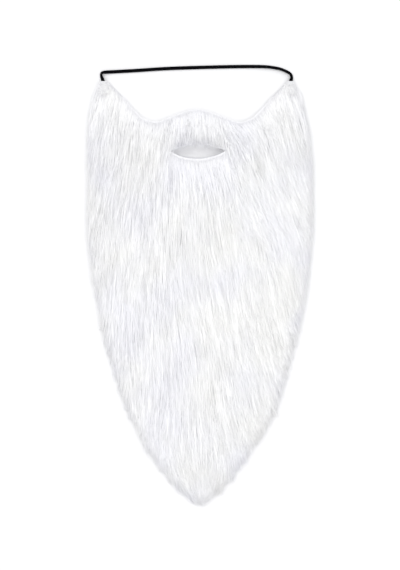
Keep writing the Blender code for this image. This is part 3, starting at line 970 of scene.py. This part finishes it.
def tabPlace(name, across, downShare, height):
    left, right = tabSides(tabSheet[name], downShare)
    return Vector((left + across * (right - left), beardPlan["top"] - downShare * tabDepth, height))


def makeTab(name, pieceName):
    sheet = tabShape
    bpy.ops.object.select_all(action="DESELECT")
    bpy.ops.mesh.primitive_cube_add(size=1)
    tab = bpy.context.object
    tab.name = tab.data.name = pieceName
    bpy.ops.object.mode_set(mode="EDIT")
    bpy.ops.mesh.select_all(action="SELECT")
    bpy.ops.mesh.subdivide(number_cuts=11)
    bpy.ops.object.mode_set(mode="OBJECT")
    for v in tab.data.vertices:
        across, downShare, high = v.co.x + 0.5, 0.5 - v.co.y, v.co.z + 0.5
        rim = min(across, 1 - across, downShare, 1 - downShare) * 0.0115
        crown = 1 - max(0.0, 1 - rim / 0.0022) ** 2
        # pressed in along the sewn square and its cross
        press = math.exp(-(((rim - sheet["inset"]) / sheet["pressWidth"]) ** 2))
        for aside in (across - downShare, across + downShare - 1):
            press += 0.7 * math.exp(-((abs(aside) * 0.008 / sheet["pressWidth"]) ** 2))
        pull = 0.0005 * 4 * downShare * (1 - downShare)
        spot = tabPlace(name, across, downShare, 0)
        spot.x += pull * (1 if across < 0.5 else -1) * abs(2 * across - 1)
        top = sheet["base"] + sheet["thickness"] * (0.62 + 0.38 * crown) - 0.00035 * min(press, 1.2)
        spot.z = sheet["base"] + (top - sheet["base"]) * high
        v.co = spot
    modifier = tab.modifiers.new("soften", "BEVEL")
    modifier.width = sheet["bevel"]
    modifier.segments = 2
    modifier.limit_method = "ANGLE"
    modifier.angle_limit = math.radians(50)
    bpy.ops.object.modifier_apply(modifier="soften")
    bpy.ops.object.transform_apply(location=True, rotation=True, scale=True)
    shadeFaces(tab.data, True)
    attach(tab, "root")
    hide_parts(name)
    return tab


def stitchRow(start, end, count):
    first, last = tabShape["stitchShares"]
    step = (end - start) / count
    return [(start + step * (i + first), start + step * (i + last)) for i in range(count)]


def tabStitches(name):
    # a sewn square with a cross in it
    low, high, wide = 0.11, 0.90, 0.12
    top = tabShape["base"] + tabShape["thickness"] * 0.97
    places = ((wide, low), (1 - wide, low), (1 - wide, high), (wide, high))
    corners = [tabPlace(name, across, downShare, top) for across, downShare in places]
    rows = []
    for a, b in ((0, 1), (1, 2), (2, 3), (3, 0), (0, 2), (1, 3)):
        count = max(3, round((corners[b] - corners[a]).length / tabShape["stitchStep"]))
        rows += stitchRow(corners[a], corners[b], count)
    return rows


def makeStitches(name, pieceName):
    points, radius = [], []
    for start, end in tabStitches(name):
        shares = np.array(strandStations)
        line = np.array(start)[None] + shares[:, None] * np.array(end - start)[None]
        line[:, 2] += 0.00016 * np.sin(math.pi * shares) - 0.00022
        points.append(line)
        radius.append(tabShape["thread"])
    made = strandMesh(pieceName, np.stack(points, 1), np.array(radius), np.full(len(radius), 0.5))
    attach(made, "root")
    return made


tabs = [makeTab("corner_tab_left", "tab_left"), makeTab("corner_tab_right", "tab_right")]
stitches = [
    makeStitches("corner_tab_left", "stitches_left"),
    makeStitches("corner_tab_right", "stitches_right"),
]
print("cloth, tabs and stitches are in place")


# Finishes
def newMaterial(name, roughness, specular):
    material = bpy.data.materials.new(name)
    material.use_nodes = True
    shader = material.node_tree.nodes["Principled BSDF"]
    shader.inputs["Roughness"].default_value = roughness
    shader.inputs["Specular IOR Level"].default_value = specular
    return material, material.node_tree, shader


def addNode(tree, kind, **values):
    # a value may also be another node's output
    node = tree.nodes.new(kind)
    for name, value in values.items():
        if isinstance(value, bpy.types.NodeSocket):
            tree.links.new(value, node.inputs[name])
        elif name in node.inputs:
            node.inputs[name].default_value = value
        else:
            setattr(node, name, value)
    return node


def ramp(tree, factor, stops):
    node = tree.nodes.new("ShaderNodeValToRGB")
    while len(node.color_ramp.elements) < len(stops):
        node.color_ramp.elements.new(0.5)
    for element, (place, colour) in zip(node.color_ramp.elements, stops):
        element.position = place
        element.color = (*colour, 1)
    tree.links.new(factor, node.inputs["Fac"])
    return node


def mixed(tree, kind, first, second, factor=1.0):
    # two colours mixed, where the second and the factor may be a socket or a value
    node = tree.nodes.new("ShaderNodeMix")
    node.data_type, node.blend_type = "RGBA", kind
    for socket, value in (("A", first), ("B", second), ("Factor", factor)):
        target = next(s for s in node.inputs if s.name == socket and s.enabled)
        if isinstance(value, bpy.types.NodeSocket):
            tree.links.new(value, target)
        else:
            target.default_value = value
    return next(s for s in node.outputs if s.enabled)


def hairFinish():
    # each strand has its own tone, some places get painted shade and wide patches are cooler or warmer
    material, tree, shader = newMaterial("whiteHair", 0.5, 0.3)
    marks = [addNode(tree, "ShaderNodeAttribute", attribute_name=name) for name in ("tone", "along", "shade")]
    tone, along, shade = (mark.outputs["Fac"] for mark in marks)
    tones = [(0.0, (0.895, 0.895, 0.90)), (0.5, (0.938, 0.938, 0.94)), (1.0, (0.977, 0.977, 0.973))]
    tint = ramp(tree, tone, tones)
    # painted shade at the strands' roots, which lie under the other hair
    root = ramp(tree, along, [(0.0, (0.95, 0.95, 0.96)), (0.4, (1, 1, 1))])
    where = addNode(tree, "ShaderNodeTexCoord").outputs["Object"]
    patches = addNode(tree, "ShaderNodeTexNoise", Vector=where, Scale=17.0, Detail=2.0)
    casts = [(0.36, (0.984, 0.984, 1.0)), (0.52, (1, 1, 1)), (0.66, (1.0, 0.999, 0.990))]
    patch = ramp(tree, patches.outputs["Fac"], casts)
    colour = mixed(tree, "MULTIPLY", tint.outputs["Color"], root.outputs["Color"])
    colour = mixed(tree, "MULTIPLY", colour, patch.outputs["Color"])
    # painted shade: the shade mark darkens the hair along the outline, over the upper lip and at the spots
    colour = mixed(tree, "MULTIPLY", colour, (0.80, 0.80, 0.83, 1), shade)
    tree.links.new(colour, shader.inputs["Base Color"])
    return material


def streakAndShadeFinish():
    # the pile under the strands: fine streaks along the combing, in colours kept darker than the strands as
    # painted shade under them
    material, tree, shader = newMaterial("densePile", 0.7, 0.2)
    where = addNode(tree, "ShaderNodeTexCoord").outputs["Object"]
    squeeze = addNode(tree, "ShaderNodeMapping", Vector=where, Scale=(1500, 60, 300))
    noise = addNode(tree, "ShaderNodeTexNoise", Vector=squeeze.outputs["Vector"], Scale=1.0, Detail=3.0)
    tint = ramp(tree, noise.outputs["Fac"], [(0.3, (0.79, 0.79, 0.81)), (0.7, (0.90, 0.90, 0.908))])
    bump = addNode(tree, "ShaderNodeBump", Height=noise.outputs["Fac"], Strength=0.6, Distance=0.0006)
    tree.links.new(tint.outputs["Color"], shader.inputs["Base Color"])
    tree.links.new(bump.outputs["Normal"], shader.inputs["Normal"])
    return material


def makeKnit():
    # rows of loops, as a mask and a normal
    group = bpy.data.node_groups.new("knit", "ShaderNodeTree")
    sockets = [
        ("Place", "INPUT", "Vector"), ("Depth", "INPUT", "Float"),
        ("Mask", "OUTPUT", "Float"), ("Normal", "OUTPUT", "Vector"),
    ]
    for name, way, kind in sockets:
        group.interface.new_socket(name=name, in_out=way, socket_type="NodeSocket" + kind)
    given = group.nodes.new("NodeGroupInput").outputs
    waves = {"Vector": given["Place"], "Scale": 1.0, "Detail": 1.0}
    loops = addNode(group, "ShaderNodeTexWave", Distortion=1.5, **waves)
    rows = addNode(group, "ShaderNodeTexWave", Distortion=1.0, bands_direction="Y", **waves)
    crossed = addNode(group, "ShaderNodeMath", operation="MULTIPLY")
    for i, wave in enumerate((loops, rows)):
        group.links.new(wave.outputs["Fac"], crossed.inputs[i])
    mask = crossed.outputs["Value"]
    bump = addNode(group, "ShaderNodeBump", Height=mask, Distance=given["Depth"], Strength=0.5)
    addNode(group, "NodeGroupOutput", Mask=mask, Normal=bump.outputs["Normal"])
    return group


knit = makeKnit()


def clothFinish(name, colour, scale):
    material, tree, shader = newMaterial(name, 0.85, 0.15)
    where = addNode(tree, "ShaderNodeTexCoord").outputs["Object"]
    squeeze = addNode(tree, "ShaderNodeMapping", Vector=where, Scale=(scale, scale * 0.8, scale))
    place = squeeze.outputs["Vector"]
    loops = addNode(tree, "ShaderNodeGroup", node_tree=knit, Place=place, Depth=0.0003)
    tint = ramp(tree, loops.outputs["Mask"], [(0.0, tuple(c * 0.86 for c in colour)), (0.6, colour)])
    tree.links.new(tint.outputs["Color"], shader.inputs["Base Color"])
    tree.links.new(loops.outputs["Normal"], shader.inputs["Normal"])
    return material


def elasticFinish():
    material, tree, shader = newMaterial("blackElastic", 0.95, 0.02)
    where = addNode(tree, "ShaderNodeUVMap", uv_map="bandMap").outputs["UV"]
    squeeze = addNode(tree, "ShaderNodeMapping", Vector=where, Scale=(1 / 0.0009, 1 / 0.0011, 1))
    waves = {"Scale": 1.0, "Distortion": 0.6, "Detail": 1.0, "bands_direction": "DIAGONAL"}
    weave = addNode(tree, "ShaderNodeTexWave", Vector=squeeze.outputs["Vector"], **waves)
    tint = ramp(tree, weave.outputs["Fac"], [(0.0, (0.001, 0.001, 0.0015)), (1.0, (0.005, 0.005, 0.006))])
    bump = addNode(tree, "ShaderNodeBump", Height=weave.outputs["Fac"], Strength=0.5, Distance=0.00012)
    tree.links.new(tint.outputs["Color"], shader.inputs["Base Color"])
    tree.links.new(bump.outputs["Normal"], shader.inputs["Normal"])
    return material


hairMaterial = hairFinish()
for piece in hair:
    piece.data.materials.append(hairMaterial)
underPile.data.materials.append(streakAndShadeFinish())
cloth.data.materials.clear()
cloth.data.materials.append(clothFinish("knittedGround", (0.86, 0.86, 0.88), 900))
tabMaterial = clothFinish("tabCloth", (0.90, 0.90, 0.915), 1500)
threadMaterial = clothFinish("whiteThread", (0.93, 0.93, 0.94), 4000)
for piece in tabs:
    piece.data.materials.append(tabMaterial)
for piece in stitches:
    piece.data.materials.append(threadMaterial)
elastic.data.materials.append(elasticFinish())
print("finishes are on")
